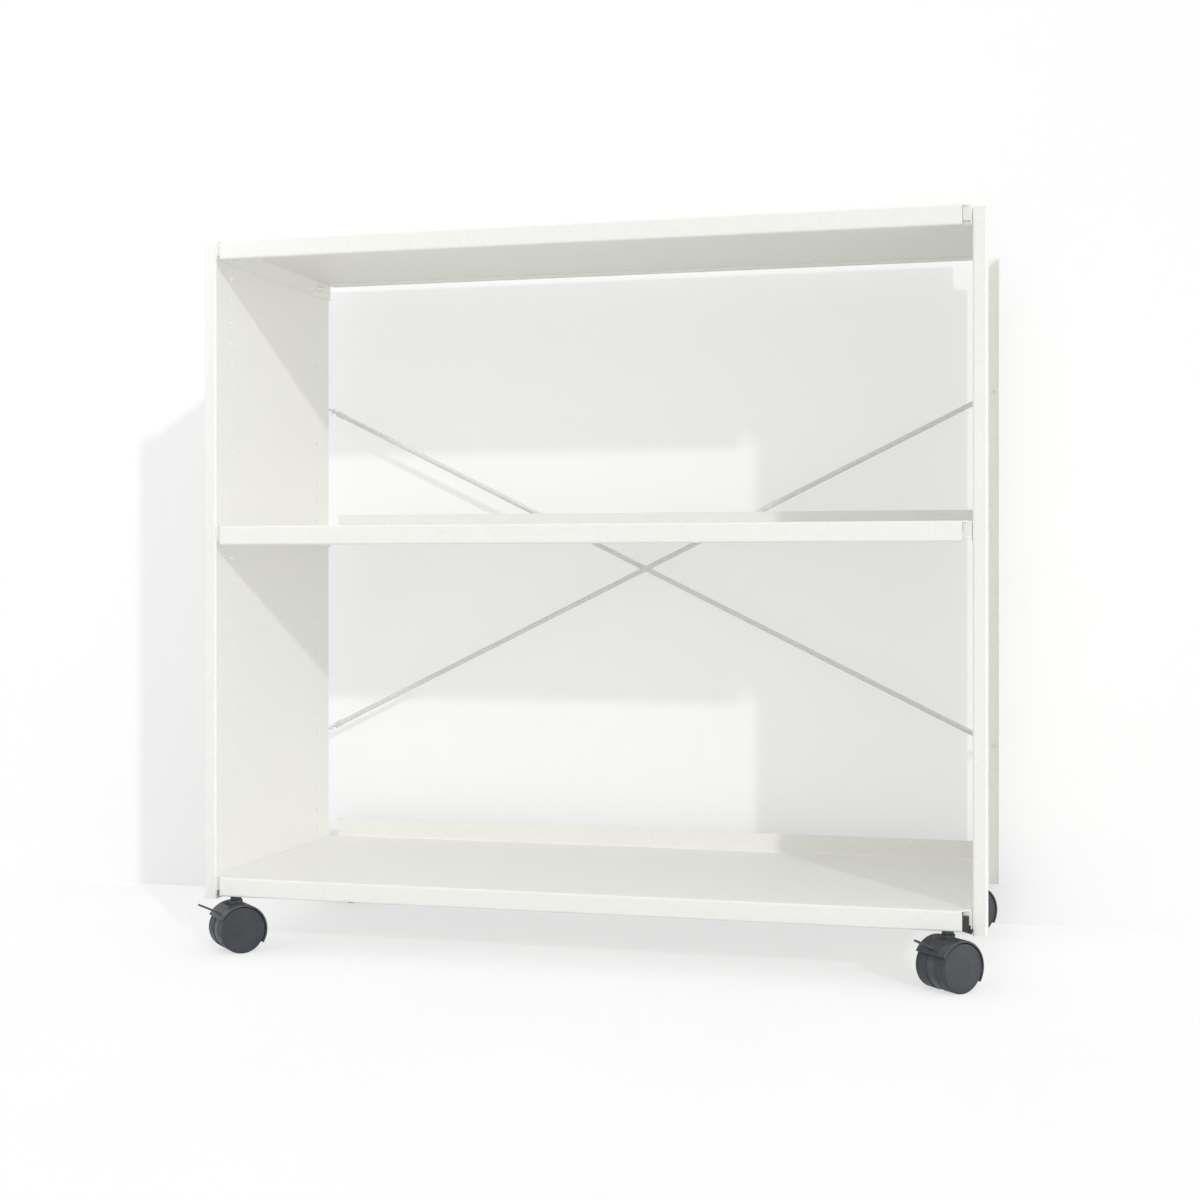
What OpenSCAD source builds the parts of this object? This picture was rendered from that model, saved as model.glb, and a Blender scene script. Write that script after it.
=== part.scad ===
// Low steel sideboard on twin-wheel castors: folded side panels, three hung shelves and a wire cross brace.
// X runs along the shelves, +Y to the back, +Z up. The origin is on the floor, under the middle of the whole.

/* [Side panels] */
// Clear width between the two side panels
inner_w = 1020; // [700:10:1300]
// Height of a side panel
panel_h = 900; // [850:10:1200]
// Depth of a side panel, front flange to rear flange
panel_d = 394; // [340:2:500]
// Thickness over a side panel's folded flanges
panel_t = 18; // [15:1:26]
// Width of the lips that close the outer edge of the flanges
lip_w = 22; // [12:1:40]
// Thickness of all sheet steel
sheet = 1.2; // [0.8:0.1:1.6]
// Outer radius of the panel and shelf bends
bend_r = 3; // [2:0.5:4]
// How far the panels reach below the bottom shelf
panel_drop = 6; // [4:1:7]

/* [Hole rows] */
// Vertical pitch of the shelf holes
hole_pitch = 30; // [28:1:32]
// Diameter of the shelf holes
hole_d = 5; // [4.4:0.1:6]
// Distance of each hole row from the panel's nearest edge
row_inset = 49; // [45:1:70]

/* [Shelves] */
// Height of a shelf's front apron
apron_h = 26; // [26:0.5:32]
// Depth of the side aprons below the shelf plate
side_apron_h = 24; // [20:0.5:24]
// Height of the rear upstand above the shelf plate
upstand_h = 27.5; // [15:0.5:60]
// How far the front apron stands in front of the panels
shelf_front = 13; // [12.5:0.1:16]
// How far the rear upstand stands behind the panels
shelf_back = 10; // [6:0.5:20]
// Gap between a shelf's end and the panel
shelf_gap = 1; // [0.5:0.1:1.5]
// Distance from the apron's end to the panel
apron_setback = 12; // [11:0.5:14]
// Depth of the return along the foot of the front apron
return_w = 10; // [6:0.5:12]
// Width of the stiffener under the back of the plate
stiff_w = 17; // [10:1:30]
// Height of that stiffener
stiff_h = 3; // [2:0.5:5]
// Hole pitches from the bottom shelf up to the middle shelf
middle_count = 16; // [10:1:20]

/* [Shelf pins and screws] */
// Diameter of a shelf pin's round body
pin_body_d = 8.6; // [7:0.1:10]
// Length of that body inside the shelf
pin_body_len = 10.5; // [6:0.5:14]
// Radial clearance of pins and screws in their holes
pin_clear = 0.1; // [0.05:0.05:0.2]
// How far a pin reaches past the inner face of the panel
pin_reach = 5; // [3:0.5:8]
// Diameter of a bracket screw's head
screw_head_d = 9.5; // [8:0.5:11]

/* [Cross brace] */
// Diameter of the brace rods
rod_d = 7.6; // [5:0.1:10]
// Diameter of the crimped sleeves at the rod ends
sleeve_d = 9.2; // [8.5:0.1:13]
// Length of those sleeves over the rod
sleeve_len = 12; // [8:1:30]
// Diameter of the wire hooks
hook_d = 3; // [2.4:0.1:4]
// Hole pitches from the bottom shelf up to the brace's lower ends
low_hook_count = 6; // [3:1:8]
// Hole pitches from the bottom shelf up to the brace's upper ends
high_hook_count = 23; // [20:1:26]

/* [Castors] */
// Distance of the castor stems from the panel's inner face
stem_inset = 30; // [30:1:40]
// Diameter of the wheels
wheel_d = 62; // [56:1:68]
// Width over both wheels
castor_w = 53; // [48:1:56]
// Width of the housing between the wheels
web_w = 12.4; // [12:0.2:15]
// Clearance between the housing and a wheel's inner face
wheel_gap = 0.6; // [0.4:0.1:1]
// How far the axle trails behind the stem
trail = 1; // [0:0.5:1.5]
// Angle that the castors stand at, from the shelf's length
swivel_angle = 45; // [35:1:60]
// Gap between the hood and the wheels
hood_gap = 1.4; // [1.2:0.1:2]
// Thickness of the hood
hood_t = 2.6; // [2.2:0.1:3]
// Where the hood ends behind the wheels, below the axle
hood_back = 33; // [15:1:40]
// Where the hood ends over the front of the wheels
hood_front = 151; // [146:1:156]
// Diameter of the boss round the stem
boss_d = 18; // [16:0.5:20]
// How far that boss stands above the hood
boss_rise = 3.6; // [2.5:0.1:5]
// Height of the stem's shoulder between the boss and the bracket
shoulder_h = 6; // [4:0.5:12]
// Diameter of the axle
axle_d = 8; // [6:0.5:9]
// Running clearance round the axle and the stem
run_clear = 0.05; // [0.03:0.01:0.08]
// Thickness of the tread
tread_t = 4; // [3:0.5:5]

/* [Brake levers] */
// Reach of the lever's tip from the stem
lever_reach = 52; // [46:1:56]
// Width of the lever's tongue at its rounded tip
lever_w = 8; // [6:0.5:12]
// Width of the tongue at its root
root_w = 17; // [14:0.5:20]
// Width of the brake shoe that bears on both wheels
shoe_w = 24; // [20:1:28]
// Thickness of the tongue
lever_t = 2.4; // [2:0.1:2.6]

/* [Hidden] */

$fn = 48;
eps = 0.01;

white = "whitesmoke";
zinc = "silver";
black = "#2a2a2c";
graphite = "#51565a";
rubber = "#45494c";

// Heights of the castors, which carry the rest
wheel_r = wheel_d / 2;
hood_in = wheel_r + hood_gap;
hood_out = hood_in + hood_t;
boss_top = wheel_r + hood_out + boss_rise;
shoulder_gap = 0.4;
bracket_z = boss_top + shoulder_gap + shoulder_h;
bracket_lift = 1;
castor_h = bracket_z - bracket_lift;

// Side panels and their holes
half_w = inner_w / 2;
panel_z = castor_h - panel_drop;
first_hole = panel_drop + apron_h / 2;
rows = [row_inset, panel_d - row_inset];
top_margin = 10;
hole_count = floor((panel_h - first_hole - top_margin) / hole_pitch) + 1;
top_count = hole_count - 1;
flange_x = half_w + panel_t / 2;

// Shelves
end_x = half_w - shelf_gap;
apron_x = half_w - apron_setback;
front_y = -shelf_front;
back_y = panel_d + shelf_back;
tab_setback = 11;
tab_y = front_y + tab_setback;
tab_foot = 7;
apron_foot = apron_h - side_apron_h;
stiff_inset = 18;
stiff_y = back_y - stiff_inset - stiff_w;

// Cross brace, whose second rod passes behind the first
rod_gap = 0.5;
rod_y = [back_y + rod_gap + rod_d / 2, back_y + 2 * rod_gap + 1.5 * rod_d];
hook_clear = 0.2;
brace_dx = 2 * flange_x;
brace_dz = (high_hook_count - low_hook_count) * hole_pitch;
brace_slope = atan(brace_dz / brace_dx);
brace_len = norm([brace_dx, brace_dz]);
neck_len = 15;
sleeve_cap = 2;
rod_len = brace_len - 2 * (neck_len + sleeve_cap);
stop_start = 3;
stop_len = 5;
stop_back = 1.5;
hook_reach = 6;
hook_bend = 3;

// Castors, each in a frame of its own: stem axis up from the floor, wheels trailing along +X
corners = [[-1, 0], [1, 0], [-1, 1], [1, 1]];
stem_x = half_w - stem_inset;
bracket_wall = 3;
bracket_reach = 16;
bracket_h = 18;
bracket_top = bracket_z + bracket_h;
bracket_gap = [1.8, 1.2];
bracket_side = end_x - sheet - bracket_gap[0];
bracket_y0 = front_y + sheet + bracket_gap[1];
bracket_y1 = row_inset + 12;
bracket_grip = 16;
bracket_boss_r = 5.5;
return_gap = 11;
return_x = stem_x - bracket_reach - return_gap;
hood_edge_r = 1.4;
half_castor = castor_w / 2;
wheel_in = web_w / 2 + wheel_gap;
stem_low_r = 4;
stem_top_r = 5;
stem_foot = wheel_r + axle_d / 2 + 11;
shoulder_r = 7.5;
groove_d = 0.7;
stem_top = bracket_top - 1;
web_r = wheel_r - 1;
rim_r = wheel_r - tread_t;
tread_edge_r = [0.5, 1];
face_r = wheel_r - tread_edge_r[1] - 0.2;
disc_t = 3.1;
disc_in = half_castor - disc_t;
axle_end = disc_in - 0.4;

// Brake lever, round its pivot on the hood
pivot_angle = 116;
pivot_r = hood_out - 0.5;
pivot = [pivot_r * cos(pivot_angle), pivot_r * sin(pivot_angle)];
barrel_r = 2.6;
lever_pin_r = 1.2;
shoe_in = hood_out - 1.6;
shoe_out = hood_out + 0.4;
shoe_start = pivot_angle + 1;
shoe_end = hood_front;
ear_w = 3;
slot_w = shoe_w + 1;
slot_start = pivot_angle - 6;
tongue_angle = 138;
tongue_start = (shoe_in + shoe_out) / 2 * [cos(tongue_angle), sin(tongue_angle)];
tip_r = lever_t / 2;
tip_clear = 1;
tip_z = castor_h - panel_drop - tip_clear - tip_r;
tongue_dx = lever_reach + trail + tongue_start[0];
lever_rise = atan2(tip_z - wheel_r - tongue_start[1], tongue_dx);
tongue_len = tongue_dx / cos(lever_rise);
plan_tip_x = lever_reach + tip_r - lever_w / 2;

// The whole stands centred on the reach of its castors
reach_back = (trail + hood_out - hood_edge_r) * sin(swivel_angle)
    + (half_castor - hood_edge_r) * cos(swivel_angle) + hood_edge_r;
reach_front = plan_tip_x * sin(swivel_angle) + lever_w / 2;
mid_y = (panel_d + reach_back - reach_front) / 2;

function hole_z(n) = panel_z + first_hole + n * hole_pitch;
function shelf_z(n) = hole_z(n) - apron_h / 2;
function turn(a) = [cos(a), sin(a)];
function arc(c, r, a, b, n = 6) = [for (i = [0 : n]) c + r * turn(a + (b - a) * i / n)];

module in_place() { translate([0, -mid_y, 0]) children(); }

// A quarter bend of sheet in the plane, with its outer side at the origin's quadrant q
module bend(c, q, r = bend_r) {
    translate(c) rotate(q * 90) intersection() {
        difference() { circle(r); circle(r - sheet); }
        square(r + eps);
    }
}

// Folded section of a side panel: web inside, flanges turned out and lips turned back along the recess
module panel_section() {
    far = panel_d;
    for (m = [0, 1]) translate([0, m * far]) mirror([0, m]) {
        bend([bend_r, bend_r], 2);
        translate([bend_r, 0]) square([panel_t - 2 * bend_r, sheet]);
        bend([panel_t - bend_r, bend_r], 3);
        translate([panel_t - sheet, bend_r]) square([sheet, lip_w - bend_r]);
    }
    translate([0, bend_r]) square([sheet, far - 2 * bend_r]);
}

// One side panel, with its web at the plane X = 0 of its own frame and its recess towards +X
module side_panel() {
    color(white) difference() {
        linear_extrude(panel_h) panel_section();
        for (y = rows, n = [0 : hole_count - 1])
            translate([-eps, y, first_hole + n * hole_pitch]) rotate([0, 90, 0])
                cylinder(d = hole_d, h = sheet + 2 * eps);
        for (n = [low_hook_count, high_hook_count])
            translate([panel_t / 2, panel_d + eps, first_hole + n * hole_pitch])
                rotate([90, 0, 0]) cylinder(r = hook_d / 2 + hook_clear, h = sheet + 2 * eps);
    }
}

module side(s) { in_place() mirror([s < 0 ? 1 : 0, 0, 0]) translate([half_w, 0, panel_z]) side_panel(); }

// Front apron, plate and rear upstand of a shelf, folded from one sheet, as seen from the end
module shelf_section() {
    translate([front_y, bend_r]) square([sheet, apron_h - 2 * bend_r]);
    bend([front_y + bend_r, bend_r], 2);
    bend([front_y + bend_r, apron_h - bend_r], 1);
    translate([front_y + bend_r, apron_h - sheet]) square([back_y - front_y - 2 * bend_r, sheet]);
    bend([back_y - bend_r, apron_h - sheet + bend_r], 3);
    translate([back_y - sheet, apron_h - sheet + bend_r]) square([sheet, upstand_h + sheet - bend_r]);
    translate([stiff_y, apron_h - sheet - stiff_h]) square([stiff_w, stiff_h + eps]);
}

// Right-hand end of a shelf: plate ear, side apron with its bend, and the tab turned in at the front
module shelf_end() {
    ear_y = front_y + bend_r;
    difference() {
        union() {
            translate([0, 0, apron_h - sheet]) linear_extrude(sheet)
                polygon([[apron_x - 1, ear_y], [apron_x, ear_y], [end_x - bend_r, tab_y],
                         [end_x - bend_r, back_y - bend_r], [apron_x - 1, back_y - bend_r]]);
            translate([0, back_y - shelf_back, 0]) rotate([90, 0, 0])
                linear_extrude(back_y - shelf_back - tab_y) {
                    bend([end_x - bend_r, apron_h - bend_r], 0);
                    translate([end_x - sheet, apron_foot]) square([sheet, apron_h - bend_r - apron_foot]);
                }
            translate([apron_x + 0.5, tab_y, tab_foot])
                cube([end_x - apron_x - 1, sheet, apron_h - tab_foot - eps]);
        }
        for (y = rows) translate([end_x - 2 * sheet, y, apron_h / 2]) rotate([0, 90, 0])
            cylinder(d = hole_d + 2 * pin_clear, h = 3 * sheet);
    }
}

// A shelf, with the foot of its front apron at z = 0
module shelf() {
    color(white) {
        rotate([90, 0, 90]) translate([0, 0, -apron_x]) linear_extrude(2 * apron_x) shelf_section();
        translate([-return_x, front_y + bend_r, 0]) cube([2 * return_x, return_w - bend_r, sheet]);
        for (m = [0, 1]) mirror([m, 0, 0]) shelf_end();
    }
}

module shelf_at(n) { in_place() translate([0, 0, shelf_z(n)]) shelf(); }

// Pin pushed through the shelf's side apron into the panel: round body inside, chamfered peg outside
module shelf_pin() {
    peg_r = hole_d / 2 - pin_clear;
    body_r = pin_body_d / 2;
    face = end_x - sheet;
    start = face - pin_body_len;
    tip = half_w + pin_reach;
    chamfer = 1;
    point = 0.8;
    color(zinc) rotate([0, 90, 0]) rotate_extrude()
        polygon([[0, start], [body_r - chamfer, start], [body_r, start + chamfer], [body_r, face],
                 [peg_r, face], [peg_r, tip - chamfer], [peg_r - point, tip], [0, tip]]);
}

module pins_at(n) {
    in_place() for (m = [0, 1], y = rows) mirror([m, 0, 0]) translate([0, y, hole_z(n)]) shelf_pin();
}

// Pan-head screw from the panel's recess into a castor bracket, with a hexagon socket
module bracket_screw() {
    head_h = 3;
    head_edge = 2;
    head_x = half_w + sheet;
    head_top = head_x + head_h;
    screw_r = hole_d / 2 - pin_clear;
    socket_d = 3.4;
    socket_t = 1.6;
    color(zinc) rotate([0, 90, 0]) difference() {
        rotate_extrude() polygon(concat(
            [[0, half_w - bracket_grip], [screw_r, half_w - bracket_grip], [screw_r, head_x]],
            [[screw_head_d / 2, head_x]],
            arc([screw_head_d / 2 - head_edge, head_top - head_edge], head_edge, 0, 90, 4), [[0, head_top]]));
        translate([0, 0, head_top - socket_t]) cylinder(d = socket_d, h = head_h, $fn = 6);
    }
}

// One rod of the brace: from its hook behind one panel's rear flange, down to the other panel's
module along_brace(s) {
    in_place() translate([0, rod_y[s > 0 ? 0 : 1], (hole_z(low_hook_count) + hole_z(high_hook_count)) / 2])
        rotate([0, -s * brace_slope, 0]) children();
}

module brace_rod(s) {
    color(zinc) along_brace(s) rotate([0, 90, 0]) cylinder(d = rod_d, h = rod_len, center = true);
}

// Sleeve crimped over the end of a rod, closed towards the hook
module brace_sleeve() {
    color(zinc) rotate([0, 90, 0]) rotate_extrude()
        polygon([[rod_d / 2, rod_len / 2 - sleeve_len], [sleeve_d / 2, rod_len / 2 - sleeve_len],
                 [sleeve_d / 2, rod_len / 2 + sleeve_cap - 1], [sleeve_d / 2 - 1, rod_len / 2 + sleeve_cap],
                 [0, rod_len / 2 + sleeve_cap], [0, rod_len / 2], [rod_d / 2, rod_len / 2]]);
}

// Hook: a thin neck with a conical stop, then a leg turned forward through the panel's rear flange
module brace_hook(s) {
    start = brace_len / 2 - neck_len;
    leg = rod_y[s > 0 ? 0 : 1] - panel_d + hook_reach;
    color(zinc) {
        translate([start, 0, 0]) rotate([0, 90, 0]) {
            cylinder(d = hook_d, h = neck_len - hook_bend);
            translate([0, 0, stop_start]) cylinder(d1 = hook_d, d2 = sleeve_d, h = stop_len);
            translate([0, 0, stop_start + stop_len]) cylinder(d1 = sleeve_d, d2 = hook_d, h = stop_back);
        }
        translate([brace_len / 2 - hook_bend, -hook_bend, 0])
            rotate_extrude(angle = 90) translate([hook_bend, 0]) circle(d = hook_d);
        translate([brace_len / 2, -hook_bend, 0]) rotate([90, 0, 0])
            cylinder(d = hook_d, h = leg - hook_bend);
    }
}

// Bracket under a corner of the bottom shelf, in the frame of the front right corner. Its screw boss and foot
// meet the shelf's side apron, and the slot lets the shelf's tab through.
module castor_bracket() {
    foot_x = half_w - 0.3;
    foot_drop = 2.6;
    foot_t = 2.2;
    foot_clear = 0.5;
    body_x = stem_x - bracket_reach;
    body_y = bracket_y1 - bracket_y0;
    inner_x = apron_x - 1;
    rib_lift = 4;
    slot_clear = 0.5;
    color(black) difference() {
        union() {
            translate([body_x, bracket_y0, bracket_top - bracket_wall])
                cube([bracket_side - body_x, body_y, bracket_wall]);
            translate([bracket_side - bracket_wall, bracket_y0, bracket_z])
                cube([bracket_wall, body_y, bracket_h]);
            translate([0, bracket_y1, 0]) rotate([90, 0, 0]) linear_extrude(body_y)
                polygon([[inner_x, bracket_z], [foot_x, castor_h - foot_drop],
                         [foot_x, castor_h - foot_drop + foot_t], [bracket_side, castor_h + foot_clear],
                         [bracket_side, bracket_z + bracket_wall], [inner_x, bracket_z + bracket_wall]]);
            translate([inner_x, bracket_y0, bracket_z])
                cube([bracket_side - inner_x, bracket_wall, bracket_h]);
            translate([stem_x, 0, bracket_z]) cylinder(r = stem_top_r + bracket_boss_r, h = bracket_h);
            for (y = [-bracket_wall / 2, bracket_y1 - bracket_wall])
                translate([body_x, y, bracket_z + rib_lift])
                    cube([bracket_side - body_x, bracket_wall, bracket_h - rib_lift]);
            translate([half_w - bracket_grip - 2, row_inset, castor_h + apron_h / 2]) rotate([0, 90, 0])
                cylinder(r = bracket_boss_r, h = end_x - sheet - half_w + bracket_grip + 2);
        }
        translate([stem_x, 0, bracket_z - eps]) cylinder(r = stem_top_r, h = stem_top - bracket_z + 0.2);
        translate([apron_x - slot_clear, tab_y - slot_clear, castor_h + tab_foot - slot_clear])
            cube([apron_setback, sheet + 2 * slot_clear, apron_h]);
        translate([half_w - bracket_grip - 1, row_inset, castor_h + apron_h / 2]) rotate([0, 90, 0])
            cylinder(d = hole_d, h = bracket_grip + 2);
    }
}

// The four corners share one bracket, mirrored about the middle of the shelf
module at_corner(c) {
    in_place() mirror([c[0] < 0 ? 1 : 0, 0, 0]) translate([0, c[1] * panel_d, 0]) mirror([0, c[1], 0])
        children();
}

module bracket_screws() {
    for (c = corners) at_corner(c) translate([0, row_inset, castor_h + apron_h / 2]) bracket_screw();
}

// A castor's own frame, turned to the angle at which it stands
module castor(c) { in_place() translate([c[0] * stem_x, c[1] * panel_d, 0]) rotate(swivel_angle) children(); }

// The plane of the wheels: x behind the axle, y up from the axle, extruded across the castor
module across(w) {
    translate([trail, 0, wheel_r]) rotate([90, 0, 0]) linear_extrude(w, center = true) children();
}

module wedge(a, b, r) { polygon(concat([[0, 0]], arc([0, 0], r, a, b, 8))); }

// Stem fixed in the bracket: top spigot, shoulder, and the lower pin that the housing turns on
module castor_stem() {
    z0 = boss_top + shoulder_gap;
    point = 0.8;
    edge = 0.6;
    groove_z = stem_foot + 3;
    groove_w = 1;
    color(zinc) rotate_extrude()
        polygon([[0, stem_foot], [stem_low_r - point, stem_foot], [stem_low_r, stem_foot + point],
                 [stem_low_r, groove_z], [stem_low_r - groove_d, groove_z],
                 [stem_low_r - groove_d, groove_z + groove_w], [stem_low_r, groove_z + groove_w],
                 [stem_low_r, z0], [shoulder_r - edge, z0], [shoulder_r, z0 + edge],
                 [shoulder_r, bracket_z], [stem_top_r, bracket_z], [stem_top_r, stem_top - point],
                 [stem_top_r - point, stem_top], [0, stem_top]]);
}

// Hood wall over both wheels, with its outer edges rounded
module hood_wall() {
    r = hood_edge_r;
    w = half_castor - r;
    translate([trail, 0, wheel_r]) rotate([90, 0, 0]) rotate([0, 0, -hood_back])
        rotate_extrude(angle = hood_front + hood_back)
            polygon(concat([[hood_in, -half_castor]], arc([hood_out - r, -w], r, -90, 0),
                           arc([hood_out - r, w], r, 0, 90), [[hood_in, half_castor]]));
}

// Housing: hood, web between the wheels and boss; a braked one has a slot and two ears for its lever
module castor_housing(brake) {
    web_short = 3;
    web_end = (brake ? slot_start : hood_front) - web_short;
    slot_past = 6;
    weld = 0.5;
    boss_foot = wheel_r + hood_in - trail;
    color(graphite) difference() {
        union() {
            difference() {
                hood_wall();
                if (brake) across(slot_w) wedge(slot_start, hood_front + slot_past, 2 * hood_out);
            }
            across(web_w) {
                circle(web_r);
                intersection() {
                    circle(hood_in + weld);
                    wedge(web_short - hood_back, web_end, 2 * hood_out);
                }
            }
            translate([0, 0, boss_foot]) cylinder(d = boss_d, h = boss_top - boss_foot);
            if (brake) for (m = [0, 1]) mirror([0, m, 0]) translate([0, slot_w / 2 + ear_w / 2, 0])
                across(ear_w) translate(pivot) circle(barrel_r + 0.2);
        }
        translate([0, 0, stem_foot - 1]) cylinder(r = stem_low_r + run_clear, h = boss_top);
        across(web_w + 2) circle(axle_d / 2);
        if (brake) across(slot_w + 2 * ear_w + 2) translate(pivot) circle(lever_pin_r);
    }
}

module castor_axle() {
    color(zinc) across(2 * axle_end) circle(axle_d / 2);
}

// A wheel's parts turn about the axle; side is -1 or 1
module on_axle(side) { translate([trail, 0, wheel_r]) rotate([side * -90, 0, 0]) children(); }

// Moulded core: blind hub, outer disc and rim
module wheel_core(side) {
    hub_r = axle_d / 2 + 4;
    bore = axle_d / 2 + run_clear;
    bore_end = axle_end + 0.2;
    inner_r = rim_r - 2.5;
    bevel = 0.7;
    color(graphite) on_axle(side) rotate_extrude()
        polygon([[bore, wheel_in], [hub_r, wheel_in], [hub_r, disc_in], [inner_r, disc_in],
                 [inner_r, wheel_in], [rim_r, wheel_in], [rim_r, disc_in], [face_r, disc_in],
                 [face_r, half_castor - bevel], [face_r - bevel, half_castor], [0, half_castor],
                 [0, bore_end], [bore, bore_end]]);
}

// Tread moulded over the rim, with rounded shoulders
module wheel_tread(side) {
    outer = half_castor - 0.5;
    r = tread_edge_r;
    color(rubber) on_axle(side) rotate_extrude()
        polygon(concat([[rim_r, wheel_in]], arc([wheel_r - r[0], wheel_in + r[0]], r[0], -90, 0, 3),
                       arc([wheel_r - r[1], outer - r[1]], r[1], 0, 90, 3),
                       [[face_r, outer], [face_r, disc_in], [rim_r, disc_in]]));
}

// Outline of the lever's tongue from above, with its tip towards -X
module tongue_plan() {
    root_x = tongue_start[0] + trail + lever_t;
    polygon([[root_x, root_w / 2], [-plan_tip_x, lever_w / 2],
             [-plan_tip_x, -lever_w / 2], [root_x, -root_w / 2]]);
    translate([-plan_tip_x, 0]) circle(d = lever_w);
}

// Brake lever: barrel on its pin, curved shoe over both treads, and a tapered tongue that rises in front
module brake_lever() {
    color(graphite) difference() {
        union() {
            across(shoe_w) {
                translate(pivot) circle(barrel_r);
                intersection() {
                    difference() { circle(shoe_out); circle(shoe_in); }
                    wedge(shoe_start, shoe_end, 2 * shoe_out);
                }
            }
            intersection() {
                across(shoe_w) translate(tongue_start) rotate(180 - lever_rise) {
                    translate([0, -tip_r]) square([tongue_len, lever_t]);
                    translate([tongue_len, 0]) circle(tip_r);
                }
                linear_extrude(castor_h) tongue_plan();
            }
        }
        across(shoe_w + 2) translate(pivot) circle(lever_pin_r + run_clear);
    }
}

module lever_pin() {
    color(zinc) across(slot_w + 2 * ear_w) translate(pivot) circle(lever_pin_r);
}

side(-1);  // side_panel_left
side(1);  // side_panel_right
shelf_at(0);  // shelf_bottom
shelf_at(middle_count);  // shelf_middle
shelf_at(top_count);  // shelf_top
pins_at(middle_count);  // shelf_pins_middle
pins_at(top_count);  // shelf_pins_top
bracket_screws();
brace_rod(1);  // brace_rod_rising
brace_rod(-1);  // brace_rod_falling
for (s = [-1, 1], m = [0, 1]) along_brace(s) mirror([m, 0, 0]) brace_sleeve();  // brace_sleeves
for (s = [-1, 1], m = [0, 1]) along_brace(s) mirror([m, 0, 0]) brace_hook(s);  // brace_hooks
at_corner(corners[0]) castor_bracket();  // castor_bracket_front_left
at_corner(corners[1]) castor_bracket();  // castor_bracket_front_right
at_corner(corners[2]) castor_bracket();  // castor_bracket_rear_left
at_corner(corners[3]) castor_bracket();  // castor_bracket_rear_right
castor(corners[0]) castor_stem();  // castor_stem_front_left
castor(corners[1]) castor_stem();  // castor_stem_front_right
castor(corners[2]) castor_stem();  // castor_stem_rear_left
castor(corners[3]) castor_stem();  // castor_stem_rear_right
castor(corners[0]) castor_housing(true);  // castor_housing_front_left
castor(corners[1]) castor_housing(true);  // castor_housing_front_right
castor(corners[2]) castor_housing(false);  // castor_housing_rear_left
castor(corners[3]) castor_housing(false);  // castor_housing_rear_right
castor(corners[0]) castor_axle();  // castor_axle_front_left
castor(corners[1]) castor_axle();  // castor_axle_front_right
castor(corners[2]) castor_axle();  // castor_axle_rear_left
castor(corners[3]) castor_axle();  // castor_axle_rear_right
castor(corners[0]) wheel_core(-1);  // wheel_core_front_left_a
castor(corners[0]) wheel_core(1);  // wheel_core_front_left_b
castor(corners[1]) wheel_core(-1);  // wheel_core_front_right_a
castor(corners[1]) wheel_core(1);  // wheel_core_front_right_b
castor(corners[2]) wheel_core(-1);  // wheel_core_rear_left_a
castor(corners[2]) wheel_core(1);  // wheel_core_rear_left_b
castor(corners[3]) wheel_core(-1);  // wheel_core_rear_right_a
castor(corners[3]) wheel_core(1);  // wheel_core_rear_right_b
castor(corners[0]) wheel_tread(-1);  // wheel_tread_front_left_a
castor(corners[0]) wheel_tread(1);  // wheel_tread_front_left_b
castor(corners[1]) wheel_tread(-1);  // wheel_tread_front_right_a
castor(corners[1]) wheel_tread(1);  // wheel_tread_front_right_b
castor(corners[2]) wheel_tread(-1);  // wheel_tread_rear_left_a
castor(corners[2]) wheel_tread(1);  // wheel_tread_rear_left_b
castor(corners[3]) wheel_tread(-1);  // wheel_tread_rear_right_a
castor(corners[3]) wheel_tread(1);  // wheel_tread_rear_right_b
castor(corners[0]) brake_lever();  // brake_lever_front_left
castor(corners[1]) brake_lever();  // brake_lever_front_right
castor(corners[0]) lever_pin();  // lever_pin_front_left
castor(corners[1]) lever_pin();  // lever_pin_front_right
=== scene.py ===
"""Looks of a low steel sideboard on castors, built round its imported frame.

The folded sheets, pins, screws, housings, levers and brace rods keep their CAD meshes and get finishes. The wheels, the
front left castor's bracket and the crimped sleeves of the brace are modelled here, where the real ones have detail or
an outline that the CAD solids leave out. Lengths are in metres, in the frame of the CAD.
"""

import logging
import math
from contextlib import contextmanager
from dataclasses import dataclass, field
from enum import Enum
from typing import Callable, Iterator, Sequence

import bmesh
import bpy
from mathutils import Matrix, Vector


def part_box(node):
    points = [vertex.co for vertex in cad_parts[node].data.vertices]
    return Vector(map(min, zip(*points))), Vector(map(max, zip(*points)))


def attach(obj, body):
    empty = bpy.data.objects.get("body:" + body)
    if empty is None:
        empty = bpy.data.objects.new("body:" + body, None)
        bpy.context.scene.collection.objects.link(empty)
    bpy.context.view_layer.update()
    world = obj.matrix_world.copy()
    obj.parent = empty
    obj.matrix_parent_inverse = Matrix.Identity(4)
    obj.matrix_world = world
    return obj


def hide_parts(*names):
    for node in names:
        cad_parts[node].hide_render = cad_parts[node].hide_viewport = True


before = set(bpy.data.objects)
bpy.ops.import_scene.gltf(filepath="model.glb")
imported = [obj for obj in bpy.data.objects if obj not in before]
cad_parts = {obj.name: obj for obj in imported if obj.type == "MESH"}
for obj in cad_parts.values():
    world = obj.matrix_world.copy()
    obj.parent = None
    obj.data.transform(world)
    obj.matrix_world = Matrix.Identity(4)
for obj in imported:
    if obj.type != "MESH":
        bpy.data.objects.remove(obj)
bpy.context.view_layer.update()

log = logging.getLogger("sideboard")

Colour = tuple[float, float, float]
Point = tuple[float, float, float]

MM = 0.001
NEAR = 0.001 * MM  # how close two places count as one
MID_Y = -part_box("side_panel_left")[0][1]  # from the panels' front edge to the middle of the whole


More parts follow.
